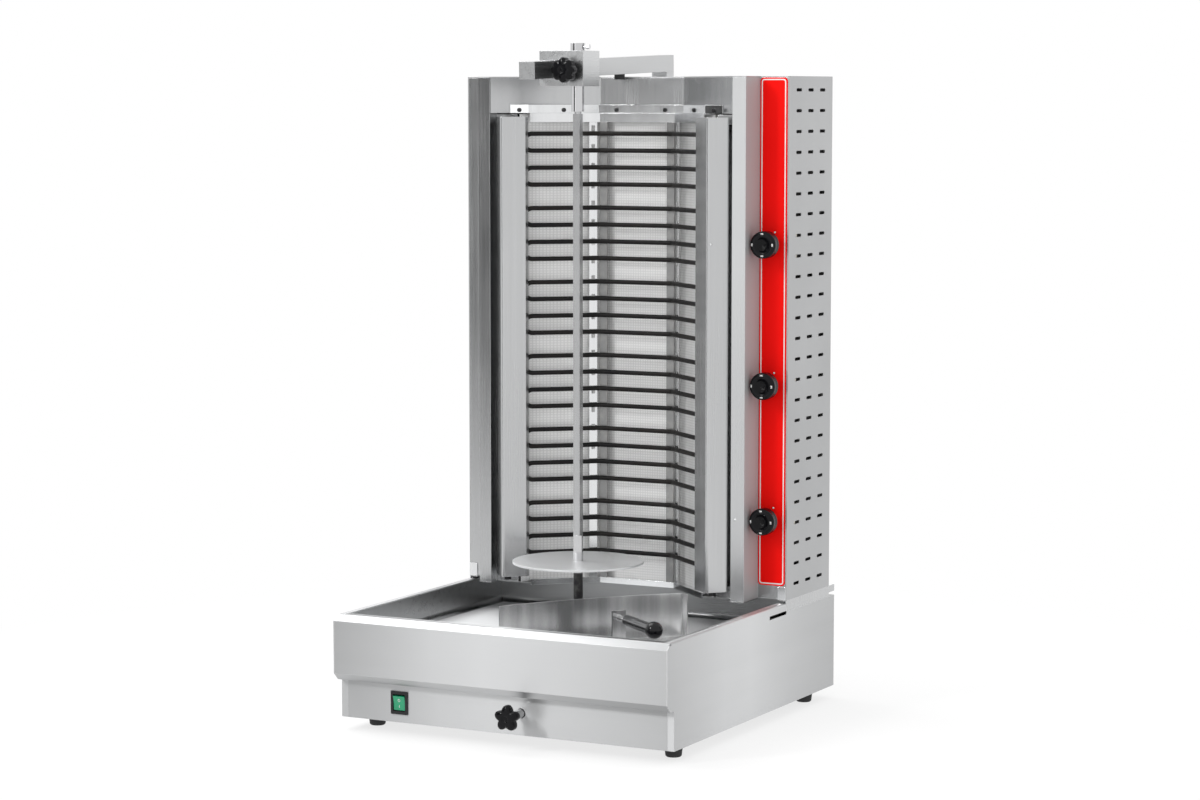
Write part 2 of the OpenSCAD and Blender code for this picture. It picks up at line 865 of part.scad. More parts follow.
// One pass of a heating element: a straight middle, two bends and two straight wings.
// The bends are a hair thicker than the straights, which end inside them.
module element_pass(z, right) {
    trim = rod_bend * tan(wing_angle / 2);
    bend = bend_at(rod_front);
    straight = bend[0] - trim + lap;
    translate([-straight, bend[1], z]) rotate([0, 90, 0]) cylinder(h = 2 * straight, d = rod_diameter);
    for (s = [0, 1]) mirror([s, 0, 0]) {
        translate([bend[0] - trim, bend[1] - rod_bend, z]) rotate([0, 0, 90 - wing_angle])
            rotate_extrude(angle = wing_angle) translate([rod_bend, 0])
                circle(d = rod_diameter + swell);
        translate([bend[0] + (trim - lap) * cos(wing_angle), bend[1] - (trim - lap) * sin(wing_angle), z])
            rotate([0, 0, -wing_angle]) rotate([0, 90, 0])
                cylinder(h = wing_run - trim + 2 * lap + (s == 0 ? right : 0), d = rod_diameter);
    }
}

// The U bend that joins a pass to the next one below, on the right wing.
module element_turn(z) {
    bend = bend_at(rod_front);
    translate([bend[0] + wing_run * cos(wing_angle), bend[1] - wing_run * sin(wing_angle),
        z - pass_pitch / 2]) rotate([0, 0, -wing_angle]) rotate([90, 0, 0]) rotate([0, 0, -90])
            rotate_extrude(angle = 180) translate([pass_pitch / 2, 0])
                circle(d = rod_diameter + swell);
}

module element_end(z) {
    bend = bend_at(rod_front);
    at = wing_run + 2;
    translate([bend[0] + at * cos(wing_angle), bend[1] - at * sin(wing_angle), z])
        rotate([0, 0, -wing_angle]) rotate([0, 90, 0]) {
            cylinder(h = 10, d = rod_diameter + 3);
            translate([0, 0, 5]) cylinder(h = 11, d = 4);
        }
}

module heating_elements() {
    top = tower_height - 117.7;
    color("darkslategray") placed() for (k = [0:element_count - 1]) {
        z = top - element_pitch * k;
        for (i = [0:3]) element_pass(z + (1.5 - i) * pass_pitch, i == 0 || i == 3 ? 4 : 0);
        mirror([1, 0, 0]) element_turn(z + 1.5 * pass_pitch);
        element_turn(z + 0.5 * pass_pitch);
        mirror([1, 0, 0]) element_turn(z - 0.5 * pass_pitch);
        element_end(z + 1.5 * pass_pitch);
        element_end(z - 1.5 * pass_pitch);
    }
}

// The channel over the ends of the heating elements, with a rounded nose and two lips.
module end_cover() {
    turn = 36 + 46;
    c = cover_nose - nose_radius * tan(turn / 2) * [cos(36), -sin(36)]
        + nose_radius * [sin(36), cos(36)];
    nose = [for (i = [0:8]) c + nose_radius * [cos(turn * i / 8 - 126), sin(turn * i / 8 - 126)]];
    upright(cover_low, cover_high) polygon(sheet(concat([cover_in + [0, 8], cover_in], nose,
        [cover_out, cover_out + [-5.5, 6.5]]), tower_sheet));
}

module end_cover_right() {
    color(steel) placed() end_cover();
}

module end_cover_left() {
    color(steel) placed() mirror([1, 0, 0]) end_cover();
}

// Plates inside the covers, bolted from below and above, carried by the posts' inner flanges.
module cover_bracket(z, bolt) {
    fit = shifted([cover_in + [0, 8], cover_in, cover_nose + [0, nose_radius * 0.4], cover_out,
        cover_out + [-5.5, 6.5]], tower_sheet + 0.1);
    upright(z, z + 2) polygon([fit[1] + [4, 3], fit[2], fit[3] + [-5, -3.5],
        cover_out + [-8, 7.5], post_back + [-10, 0], post_back + [-30, 0]]);
    translate([cover_nose[0] + 1, cover_nose[1] + 18, bolt]) cylinder(h = abs(z - bolt) + 2, d = 6);
    translate([cover_nose[0] + 1, cover_nose[1] + 18, bolt]) cylinder(h = 4, d = 11, $fn = 6);
}

bracket_inset = 12;
bolt_reach = 10;

module cover_brackets() {
    color(dark) placed() pair() {
        cover_bracket(cover_low + 6, cover_low - 6);
        cover_bracket(cover_high - bracket_inset, cover_high - bracket_inset - bolt_reach);
    }
}

// Mast and arm

// The arm's own frame: its axis at the spit's distance, sloping up towards the back.
module on_arm() {
    translate([-arm_offset, spit_y, arm_z]) rotate([arm_tilt, 0, 0]) children();
}

module mast() {
    color(steel) placed() difference() {
        translate([-arm_offset - arm_side / 2, mast_front, bracket_low - 6])
            cube([arm_side, arm_side, arm_z + 16 - bracket_low]);
        translate([-arm_offset - arm_side / 2 + arm_wall, mast_front + arm_wall, bracket_low - 7])
            cube([arm_side - 2 * arm_wall, arm_side - 2 * arm_wall, arm_z]);
        on_arm() translate([-arm_side, 0, -arm_side / 2]) cube([2 * arm_side, 500, 100]);
    }
}

module mast_bracket(y, z) {
    block_at([-arm_offset - bracket_width / 2, y, z],
        [-arm_offset + bracket_width / 2, y + 2.5, z + bracket_height]);
    block_at([-arm_offset - arm_side / 2, y + 2.5, z],
        [-arm_offset + arm_side / 2, mast_front, z + bracket_height]);
    for (s = [-1, 1])
        translate([-arm_offset + s * (bracket_width / 2 - 8), y + 4.5, z + bracket_height / 2])
            rotate([90, 0, 0]) cylinder(h = 2, d = 9);
}

module mast_brackets() {
    color(steel) placed() {
        mast_bracket(base_depth, bracket_low);
        mast_bracket(base_depth, bracket_mid);
        mast_bracket(tower_back, tower_height - 70);
    }
}

module arm() {
    color(steel) placed() on_arm() difference() {
        translate([-arm_side / 2, -arm_front, -arm_side / 2])
            cube([arm_side, arm_front + arm_back, arm_side]);
        translate([-arm_side / 2 + arm_wall, -arm_front + arm_wall, -arm_side / 2 + arm_wall])
            cube([arm_side - 2 * arm_wall, arm_front + arm_back - 2 * arm_wall, arm_side - 2 * arm_wall]);
    }
}

module arm_pad() {
    y = fascia_bend[1] - 14;
    color(black) placed() difference() {
        translate([-arm_offset + 4, y, tower_height - 4]) cylinder(h = 12, d = 15);
        on_arm() translate([-arm_side, -50, -arm_side / 2]) cube([2 * arm_side, 500, 100]);
    }
}

// Spit

hub_top = disc_height + 36;
hub_low = hub_top - hub_length;
bar_top = arm_z - 61.7;

module drive_shaft() {
    color(dark) placed() translate([0, spit_y, 0]) difference() {
        translate([0, 0, plate_z + shaft_seat + 1])
            cylinder(h = hub_low - plate_z - shaft_seat - 1, d = shaft_diameter - 1);
        translate([0, 0, hub_low - 16]) cylinder(h = 20, d = 8);
    }
}

module disc_hub() {
    color("silver") placed() translate([0, spit_y, 0]) difference() {
        union() {
            translate([0, 0, hub_low]) cylinder(h = hub_length, d = shaft_diameter);
            translate([0, 0, hub_low - 15]) cylinder(h = 16, d = 8);
            translate([0, 0, disc_height - disc_thickness - 3]) cylinder(h = 3, d = shaft_diameter + 12);
        }
        translate([0, 0, hub_top - 20]) cylinder(h = 30, d = 8);
    }
}

module meat_disc() {
    color(steel) placed() translate([0, spit_y, disc_height - disc_thickness]) difference() {
        cylinder(h = disc_thickness, d = disc_diameter, $fn = 96);
        translate([0, 0, -1]) cylinder(h = 9, d = shaft_diameter);
    }
}

module spit_bar() {
    color(steel) placed() translate([0, spit_y, 0]) {
        translate([0, 0, (hub_top + bar_top) / 2])
            cube([bar_side, bar_side, bar_top - hub_top], center = true);
        translate([0, 0, hub_top - 20]) cylinder(h = 21, d = 8);
        translate([0, 0, bar_top - 1]) cylinder(h = 15, d = 10);
    }
}

block_low = arm_z + 0.5 - block_height / 2;
block_top = arm_z + 0.5 + block_height / 2;
clamp_z = arm_z - 1.7;

module top_block() {
    color(steel) placed() difference() {
        block_at([-arm_offset - arm_side / 2 - 2, spit_y - block_depth / 2, block_low],
            [21, spit_y + block_depth / 2, block_top]);
        on_arm() translate([-50 - arm_side / 2, -60, -arm_side / 2 - clear])
            cube([50 + arm_side + clear, 120, arm_side + 2 * clear]);
        translate([0, spit_y, block_low - 1])
            cylinder(h = block_height + 2, d = sleeve_diameter + 2 * running);
        rod_y(0, clamp_z, spit_y - block_depth / 2 - 1, spit_y, 8 + 2 * running);
        translate([-arm_offset, spit_y - 12, arm_z]) cylinder(h = 40, d = 7);
    }
    color(dark) placed() difference() {
        translate([-arm_offset, spit_y - 12, block_top - 12.2]) cylinder(h = 10, d = 7);
        translate([-arm_offset, spit_y - 12, block_top - 5]) cylinder(h = 10, d = 3.5, $fn = 6);
    }
}

sleeve_low = bar_top + 3;

module sleeve() {
    color("silver") placed() translate([0, spit_y, 0]) difference() {
        union() {
            translate([0, 0, sleeve_low]) cylinder(h = block_top - sleeve_low + 1, d = sleeve_diameter);
            translate([0, 0, block_top + rest_gap]) cylinder(h = 10.3, d = sleeve_diameter + 3);
            translate([0, 0, block_top + 5.5]) rotate([0, 90, 0]) {
                cylinder(h = 17, d = 4);
                translate([0, 0, 14]) cylinder(h = 4.5, d = 7);
            }
        }
        translate([0, 0, sleeve_low - 1]) cylinder(h = 18, d = 10 + 2 * running);
        translate([0, 0, block_top + 4]) cylinder(h = 10, d = 9);
    }
}

module clamp_knob() {
    back = spit_y - block_depth / 2 - 7;
    color(black) placed() {
        translate([0, back, clamp_z]) star_knob(8, star_diameter, 4.2, 18, 6);
        rod_y(0, clamp_z, back + 5, spit_y - sleeve_diameter / 2 - rest_gap, 8);
    }
}

// Scoop, drawn along its chord: x runs along the wall and y away from the handle.

scoop_turn = 51.7;
grip_at = 0.527 * scoop_length;

module on_scoop() {
    translate([-40, 80, pan_floor + rest_gap]) rotate([0, 0, scoop_turn]) children();
}

scoop_radius = (pow(scoop_length / 2, 2) + pow(scoop_bulge, 2)) / (2 * scoop_bulge);
scoop_sheet = 1.2;

// The disc that the bulging wall is cut from, its edge set in by d.
module scoop_disc(d) {
    translate([scoop_length / 2, scoop_bulge - scoop_radius]) circle(scoop_radius - d, $fn = 96);
}

module scoop() {
    color(steel) placed() on_scoop() {
        linear_extrude(scoop_height) {
            intersection() {
                difference() {
                    scoop_disc(0);
                    scoop_disc(scoop_sheet);
                }
                translate([0, -20]) square([scoop_length, 60]);
            }
            translate([scoop_length - scoop_sheet, -16]) square([scoop_sheet, 15.5]);
        }
        linear_extrude(scoop_sheet) intersection() {
            scoop_disc(scoop_sheet / 2);
            polygon([[0.4, 30], [0.4, -0.6 * scoop_depth], [30, -scoop_depth],
                [scoop_length - 0.4, -scoop_depth], [scoop_length - 0.4, 30]]);
        }
    }
    color(steel) placed() on_scoop() translate([grip_at, 0, 0]) {
        translate([-10, 27.5 - scoop_depth - 1, 1]) cube([20, 3, handle_height + 9]);
        translate([0, 29.5 - scoop_depth, handle_height]) rotate([90, 0, 0])
            cylinder(h = 37 + grip_length, d = 8);
    }
}

module scoop_grip() {
    color(black) placed() on_scoop() translate([grip_at, -scoop_depth - 1, handle_height])
        difference() {
            union() {
                rotate([90, 0, 0]) cylinder(h = grip_length, d = grip_diameter);
                translate([0, -grip_length - 8, 0]) sphere(d = ball_diameter);
            }
            translate([0, 1, 0]) rotate([90, 0, 0])
                cylinder(h = grip_length + 8, d = 8 + 2 * running);
        }
}

base_side_right();
base_side_left();
front_fascia();
lower_front_panel();
base_back();
base_floor();
drip_pan();
feet();
switch_bezel();
switch_rocker();
guide_rails();
slide_bushes();
carriage_plate();
gearbox();
motor();
shaft_bearing();
adjuster_rod();
adjuster_knob();
cable_gland();
terminal_block();
tower_plinth();
tower_floor();
back_panel();
side_panel_right();
side_panel_left();
front_panel_right();
front_panel_left();
top_plate();
top_fascia();
fascia_band();
band_screws();
tower_lugs();
control_panel();
rotary_switches();
knob_top();
knob_middle();
knob_bottom();
lower_rail();
upper_rail();
reflector();
insulation();
straps();
slotted_strips();
heating_elements();
end_cover_right();
end_cover_left();
cover_brackets();
mast();
mast_brackets();
arm();
arm_pad();
drive_shaft();
disc_hub();
meat_disc();
spit_bar();
top_block();
sleeve();
clamp_knob();
scoop();
scoop_grip();
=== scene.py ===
"""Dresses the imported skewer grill: materials, small surface pieces, studio and camera."""

import math

import bmesh
import bpy
from mathutils import Matrix, Vector


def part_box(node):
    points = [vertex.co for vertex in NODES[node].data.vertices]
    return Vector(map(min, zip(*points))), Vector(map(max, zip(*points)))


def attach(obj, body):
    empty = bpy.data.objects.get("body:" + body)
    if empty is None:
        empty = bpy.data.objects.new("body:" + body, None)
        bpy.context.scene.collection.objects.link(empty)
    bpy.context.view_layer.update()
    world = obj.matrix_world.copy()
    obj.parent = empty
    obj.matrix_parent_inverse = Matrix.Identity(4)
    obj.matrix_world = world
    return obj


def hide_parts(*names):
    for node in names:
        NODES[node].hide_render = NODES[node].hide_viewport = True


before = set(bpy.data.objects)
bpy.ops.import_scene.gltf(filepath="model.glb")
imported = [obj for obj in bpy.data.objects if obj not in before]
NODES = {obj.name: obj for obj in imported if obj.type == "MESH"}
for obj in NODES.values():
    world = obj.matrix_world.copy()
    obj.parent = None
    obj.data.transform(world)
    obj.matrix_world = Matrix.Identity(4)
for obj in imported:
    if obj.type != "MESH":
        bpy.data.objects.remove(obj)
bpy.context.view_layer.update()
MM = 0.001

# The scoop's handle points this way, and the black ball takes up this length of its outer end.
GRIP_AXIS = (0.785, -0.62, 0.0)
BALL = 18.0 * MM

# The base's flat sheets carry a painted sheen: a painted highlight that is brightest this far to the left or
# the front of thEIR middle, and painted shade that darkens them from this distance on.
PAINTED_SHEEN_SHIFT = 0.06
PAINTED_SHEEN_START = 0.04

# The camera, fitted to the photographed view.
CAMERA_PLACE = (2.02685, -3.87204, 0.87328)
CAMERA_TILT = 84.1
CAMERA_TURN = 27.48
CAMERA_LENS = 93.705
SENSOR_WIDTH = 36.0
CAMERA_SHIFT = 0.01517

# Area lamps: name, place, what they face, (width, height), watts.
SET_MIDDLE = (0, 0, 0.45)
LAMPS = (
    ("key", (-2.05, -3.76, 2.9), (0, -0.28, 0.2), (0.5, 1.2), 55),
    ("fill", (-1.35, -4.3, 0.75), (0, 0, 0.5), (1.2, 1.3), 2.0),
    ("side", (2.03, 3.87, 0.95), (0.25, 0, 0.3), (1.4, 1.2), 1.5),
    ("top", (-1.6, -0.1, 2.9), SET_MIDDLE, (2.2, 2.2), 45),
)

# Dark cards that the steel mirrors: name, place, what they face, (width, height), shade of grey.
CARDS = (
    ("flag_left", (-2.0, -2.4, 0.9), SET_MIDDLE, (1.0, 2.4), 0.04),
    ("flag_right", (2.6, 1.6, 0.8), SET_MIDDLE, (0.9, 2.4), 0.08),
    ("flag_high", (-2.1, -3.7, 1.05), (0, 0, 0.85), (1.0, 0.5), 0.05),
)
FLOOR_SIZE = 60
FLOOR_GREY = 0.95


# ---------------------------------------------------------------- materials


class Graph:
    """A node material with one Principled shader, built up call by call."""

    def __init__(self, name):
        self.material = bpy.data.materials.new(name)
        self.material.use_nodes = True
        self.tree = self.material.node_tree
        self.tree.nodes.clear()
        self.shader = self.add("ShaderNodeBsdfPrincipled")
        out = self.add("ShaderNodeOutputMaterial")
        self.link(self.shader.outputs["BSDF"], out.inputs["Surface"])
        self.place = self.add("ShaderNodeTexCoord").outputs["Object"]

    def add(self, kind, **values):
        """A new node with these settings."""
        node = self.tree.nodes.new(kind)
        for key, value in values.items():
            setattr(node, key, value)
        return node

    def link(self, a, b):
        self.tree.links.new(a, b)

    def put(self, socket, value):
        """Sets a socket of the shader to a constant, or links it."""
        target = self.shader.inputs[socket]
        if isinstance(value, bpy.types.NodeSocket):
            self.link(value, target)
        else:
            target.default_value = value

    def stretched(self, scale, shift=0.0):
        """The object's own coordinates, scaled on each axis and shifted."""
        mapping = self.add("ShaderNodeMapping")
        mapping.inputs["Scale"].default_value = scale
        mapping.inputs["Location"].default_value = (shift, shift * 0.7, shift * 1.3)
        self.link(self.place, mapping.inputs["Vector"])
        return mapping.outputs["Vector"]

    def noise(self, scale, detail=3.0, rough=0.5, shift=0.0, distortion=0.0):
        """Noise of this many cells to the metre on each axis."""
        node = self.add("ShaderNodeTexNoise")
        node.inputs["Scale"].default_value = 1.0
        node.inputs["Detail"].default_value = detail
        node.inputs["Roughness"].default_value = rough
        node.inputs["Distortion"].default_value = distortion
        self.link(self.stretched(scale, shift), node.inputs["Vector"])
        return node.outputs["Fac"]

    def wave(self, axis, scale):
        """Slightly uneven bands across an axis."""
        node = self.add("ShaderNodeTexWave", wave_type="BANDS", bands_direction=axis)
        node.inputs["Scale"].default_value = scale
        node.inputs["Distortion"].default_value = 0.6
        node.inputs["Detail Scale"].default_value = 3.0
        self.link(self.place, node.inputs["Vector"])
        return node.outputs["Fac"]

    def span(self, fac, low, high, start=0.3, end=0.7):
        """Maps start..end onto low..high, and holds the ends beyond."""
        node = self.add("ShaderNodeMapRange")
        for key, value in (("From Min", start), ("From Max", end), ("To Min", low), ("To Max", high)):
            node.inputs[key].default_value = value
        self.link(fac, node.inputs["Value"])
        return node.outputs["Result"]

    def maths(self, kind, a, b):
        """A maths node of one kind, on two sockets or numbers."""
        node = self.add("ShaderNodeMath", operation=kind)
        for socket, value in zip(node.inputs, (a, b)):
            if isinstance(value, bpy.types.NodeSocket):
                self.link(value, socket)
            else:
                socket.default_value = value
        return node.outputs["Value"]

    def blend(self, fac, a, b):
        """Mixes from a to b, each a colour or a socket."""
        node = self.add("ShaderNodeMix", data_type="RGBA")
        self.link(fac, node.inputs[0])
        for socket, value in ((node.inputs[6], a), (node.inputs[7], b)):
            if isinstance(value, bpy.types.NodeSocket):
                self.link(value, socket)
            else:
                socket.default_value = (*value, 1.0)
        return node.outputs[2]

    def edges(self, radius):
        """A normal that rounds every edge by this radius."""
        node = self.add("ShaderNodeBevel", samples=4)
        node.inputs["Radius"].default_value = radius
        return node.outputs["Normal"]

    def wear_and_highlight(self, beveled):
        """Rises from 0 on a face to its full share on an edge, where the rounded normal leans: the edges it
        marks are lightened partly by wear and partly as a painted highlight.
        """
        lean = self.add("ShaderNodeVectorMath", operation="DOT_PRODUCT")
        self.link(beveled, lean.inputs[0])
        self.link(self.add("ShaderNodeNewGeometry").outputs["Normal"], lean.inputs[1])
        return self.span(lean.outputs["Value"], 0.75, 0.0, 0.75, 0.985)

    def from_middle(self, axis, shift):
        """Distance along an axis from a plane that lies a little off the part's middle."""
        parts = self.add("ShaderNodeSeparateXYZ")
        self.link(self.place, parts.inputs["Vector"])
        return self.maths("ABSOLUTE", self.maths("ADD", parts.outputs[axis], shift), 0.0)

    def looking(self, axis):
        """1 on the faces that look along an axis, 0 elsewhere."""
        parts = self.add("ShaderNodeSeparateXYZ")
        self.link(self.add("ShaderNodeTexCoord").outputs["Normal"], parts.inputs["Vector"])
        return self.span(parts.outputs[axis], 0.0, 1.0, 0.85, 0.97)

    def bump(self, height, strength, distance, normal=None):
        """A normal that raises the surface by a height map."""
        node = self.add("ShaderNodeBump")
        node.inputs["Strength"].default_value = strength
        node.inputs["Distance"].default_value = distance
        self.link(height, node.inputs["Height"])
        if normal is not None:
            self.link(normal, node.inputs["Normal"])
        return node.outputs["Normal"]


def shade(colour, factor):
    """The colour made darker or lighter, without passing white."""
    return tuple(min(1.0, c * factor) for c in colour)


def even(cells):
    """Noise scales for a mottle without a direction."""
    return (cells, cells, cells)


def along_axis(axis, fine, long):
    """Noise scales for a grain that runs along one axis: fine across it and long along it."""
    return tuple(long if i == "XYZ".index(axis) else fine for i in range(3))


# Brushed sheet: cells to the metre across and along its grain, along its broad streaks and in its
# clouds of wear; then shares of its colour, in the clouds, on single bright hairs of the grain, and
# in the middle and at the ends of a sheet with a painted sheen (painted highlight in the middle, painted
# shade at the ends).
GRAIN_ACROSS = 1300.0
GRAIN_ALONG = 10.0
STREAK_ALONG = 1.4
CLOUD = 4.5
CLOUD_SHARE = 0.84
HAIR_SHARE = 1.2
PAINTED_SHEEN_MIDDLE = 1.1
PAINTED_SHEEN_ENDS = 0.76


def brushed(name, colour, rough, axis, bands=0.04, wide=95.0, anisotropy=0.0, edge=1.15,
            dull_and_painted_light_axis="", sheen=0.0, wall=0.75):
    """Brushed sheet: fine grain and broad streaks along an axis, cloudy wear, bright edges from wear and a
    painted highlight; optionally a painted sheen, and duller faces along one axis with their colour scaled
    as painted light and shade.
    """
    g = Graph(name)
    fine = g.noise(along_axis(axis, GRAIN_ACROSS, GRAIN_ALONG), 2.0, 0.6)
    streak = g.noise(along_axis(axis, wide, STREAK_ALONG), 3.0, 0.55, 3.1)
    cloud = g.noise(even(CLOUD), 3.0, 0.5, 7.7)
    rounded = g.edges(0.8 * MM)
    tone = g.blend(g.span(streak, 0.0, 1.0), shade(colour, 1 - bands), shade(colour, 1 + bands))
    tone = g.blend(g.span(cloud, 0.0, 0.3), tone, shade(colour, CLOUD_SHARE))
    tone = g.blend(g.span(fine, 0.0, 0.16), tone, shade(colour, HAIR_SHARE))
    # Painted sheen: a painted highlight across the middle of the sheet and painted shade towards its ends.
    if sheen:
        ends = g.span(g.from_middle(axis, PAINTED_SHEEN_SHIFT), 0.0, 1.0, PAINTED_SHEEN_START, sheen)
        middle = g.blend(ends, shade(colour, PAINTED_SHEEN_MIDDLE), tone)
        tone = g.blend(ends, middle, shade(colour, PAINTED_SHEEN_ENDS))
    # Edges lightened: partly wear, partly a painted highlight.
    tone = g.blend(g.wear_and_highlight(rounded), tone, shade(colour, edge))
    mix = g.maths("ADD", g.span(streak, -0.02, 0.02), g.span(cloud, rough - 0.03, rough + 0.03))
    mix = g.maths("ADD", mix, g.span(fine, -0.025, 0.025))
    g.put("Metallic", 1.0)
    # Faces along this axis are made duller, and their colour is scaled by the given share: painted light
    # where it lightens them, painted shade where it darkens them.
    if dull_and_painted_light_axis:
        face = g.looking(dull_and_painted_light_axis)
        tone = g.blend(face, tone, shade(colour, wall))
        mix = g.maths("ADD", mix, g.span(face, 0.0, 0.3, 0.0, 1.0))
        g.put("Metallic", g.span(face, 1.0, 0.15, 0.0, 1.0))
    g.put("Base Color", tone)
    g.put("Roughness", mix)
    g.put("Anisotropic", anisotropy)
    g.put("Anisotropic Rotation", 0.25 if anisotropy else 0.0)
    normal = g.bump(streak, 0.02, 0.2 * MM, rounded)
    g.put("Normal", g.bump(fine, 0.05, 0.03 * MM, normal))
    return g.material


def polished(name, colour, rough):
    """Ground or plated bar: faint turned rings and handling marks, bright edges from wear and a painted
    highlight.
    """
    g = Graph(name)
    rings = g.noise((40.0, 40.0, 300.0), 2.0, 0.5)
    marks = g.noise((28.0, 28.0, 14.0), 4.0, 0.55, 2.0)
    rounded = g.edges(0.7 * MM)
    tone = g.blend(g.span(marks, 0.0, 1.0), shade(colour, 0.88), colour)
    # Edges lightened: partly wear, partly a painted highlight.
    g.put("Base Color", g.blend(g.wear_and_highlight(rounded), tone, shade(colour, 1.15)))
    g.put("Metallic", 1.0)
    g.put("Roughness", g.maths("ADD", g.span(rings, -0.02, 0.02), g.span(marks, rough, rough + 0.06)))
    g.put("Normal", g.bump(rings, 0.04, 0.03 * MM, rounded))
    return g.material


def painted(name, colour, rough, wear_and_highlight, metallic=0.0):
    """Blackened or painted metal with a fine orange peel and patches of wear; its edges are lightened partly
    by wear and partly as a painted highlight.
    """
    g = Graph(name)
    peel = g.noise(even(700.0), 2.0, 0.5)
    wear = g.noise(even(70.0), 5.0, 0.65, 4.0)
    rounded = g.edges(0.5 * MM)
    tone = g.blend(g.span(wear, 0.0, 1.0, 0.45, 0.75), colour, wear_and_highlight)
    # Edges lightened: partly wear, partly a painted highlight.
    g.put("Base Color", g.blend(g.wear_and_highlight(rounded), tone, wear_and_highlight))
    g.put("Metallic", metallic)
    g.put("Roughness", g.maths("ADD", g.span(peel, -0.04, 0.04), g.span(wear, rough, rough + 0.12)))
    g.put("Normal", g.bump(peel, 0.12, 0.04 * MM, rounded))
    return g.material


def moulded(name, colour, rough, coat=0.0, grain=900.0, depth=0.10, shine=0.5):
    """Moulded plastic or rubber: fine spark grain, slight shade clouds, optional gloss coat."""
    g = Graph(name)
    pits = g.noise(even(grain), 2.0, 0.5)
    cloud = g.noise(even(22.0), 4.0, 0.55, 1.0)
    g.put("Base Color", g.blend(g.span(cloud, 0.0, 1.0), shade(colour, 0.85), shade(colour, 1.15)))
    g.put("Roughness", g.maths("ADD", g.span(pits, -0.02, 0.03), g.span(cloud, rough, rough + 0.04)))
    g.put("Coat Weight", coat)
    g.put("Coat Roughness", 0.08)
    g.put("Specular IOR Level", shine)
    g.put("Normal", g.bump(pits, depth, 0.04 * MM, g.edges(0.5 * MM)))
    return g.material


def embossed(name, colour):
    """Bright reflector foil, pressed with a fine square mesh and slightly crumpled, with painted shade along
    the pressed lines of the mesh.
    """
    g = Graph(name)
    cell = g.maths("MINIMUM", g.wave("X", 80.0), g.wave("Z", 84.0))
    crease = g.noise((26.0, 26.0, 16.0), 4.0, 0.6, 5.0, 0.6)
    soot = g.noise((7.0, 7.0, 4.0), 4.0, 0.6, 8.0)
    # The mesh's pressed lines are darker: painted shade in the grooves.
    tone = g.blend(g.span(cell, 0.0, 1.0, 0.05, 0.45), shade(colour, 0.84), colour)
    g.put("Base Color", g.blend(g.span(soot, 0.0, 0.12, 0.5, 0.8), tone, (0.5, 0.49, 0.47)))
    g.put("Metallic", 0.25)
    g.put("Roughness", g.span(crease, 0.30, 0.46))
    normal = g.bump(crease, 0.22, 1.2 * MM)
    g.put("Normal", g.bump(cell, 0.35, 0.25 * MM, normal))
    return g.material


def heated(name):
    """Oxidised heating tube: near black, with faint blue and brown heat bands."""
    g = Graph(name)
    band = g.noise((9.0, 9.0, 40.0), 3.0, 0.5)
    scale = g.noise(even(500.0), 3.0, 0.6)
    tone = g.blend(g.span(band, 0.0, 1.0), (0.006, 0.0058, 0.0064), (0.015, 0.0125, 0.011))
    g.put("Base Color", g.blend(g.span(scale, 0.0, 0.2), tone, (0.045, 0.045, 0.047)))
    g.put("Metallic", 0.2)
    g.put("Specular IOR Level", 0.16)
    g.put("Roughness", g.span(scale, 0.36, 0.5))
    g.put("Normal", g.bump(scale, 0.15, 0.05 * MM))
    return g.material


def tipped(name, metal, black):
    """A chrome handle tube given a dark metal colour as a painted reflection, with a gloss black ball on its
    outer end.
    """
    g = Graph(name)
    marks = g.noise((28.0, 28.0, 40.0), 4.0, 0.55, 2.0)
    along = g.add("ShaderNodeVectorMath", operation="DOT_PRODUCT")
    g.link(g.place, along.inputs[0])
    along.inputs[1].default_value = GRIP_AXIS
    end = max(Vector(GRIP_AXIS).dot(v.co) for v in NODES["scoop_grip"].data.vertices)
    seam, soft = end - BALL, 0.2 * MM
    ball = g.span(along.outputs["Value"], 0.0, 1.0, seam - soft, seam + soft)
    # The tube's dark colour is a painted reflection.
    tube = g.blend(g.span(marks, 0.0, 1.0), shade(metal, 0.7), metal)
    g.put("Base Color", g.blend(ball, tube, black))
    g.put("Metallic", g.span(ball, 1.0, 0.0, 0.0, 1.0))
    g.put("Roughness", g.span(marks, 0.10, 0.16))
    g.put("Specular IOR Level", 0.3)
    g.put("Normal", g.bump(marks, 0.05, 0.1 * MM, g.edges(0.4 * MM)))
    return g.material


def enamel(name, colour, deep):
    """Printed overlay: even colour with a faint print mottle and a low sheen."""
    g = Graph(name)
    mottle = g.noise(even(260.0), 3.0, 0.6)
    cloud = g.noise((12.0, 12.0, 6.0), 3.0, 0.5, 2.0)
    tone = g.blend(g.span(cloud, 0.0, 1.0), deep, colour)
    g.put("Base Color", g.blend(g.span(mottle, 0.0, 0.10), tone, shade(colour, 1.2)))
    g.put("Roughness", g.span(mottle, 0.42, 0.5))
    g.put("Specular IOR Level", 0.06)
    g.put("Normal", g.bump(mottle, 0.06, 0.03 * MM))
    return g.material
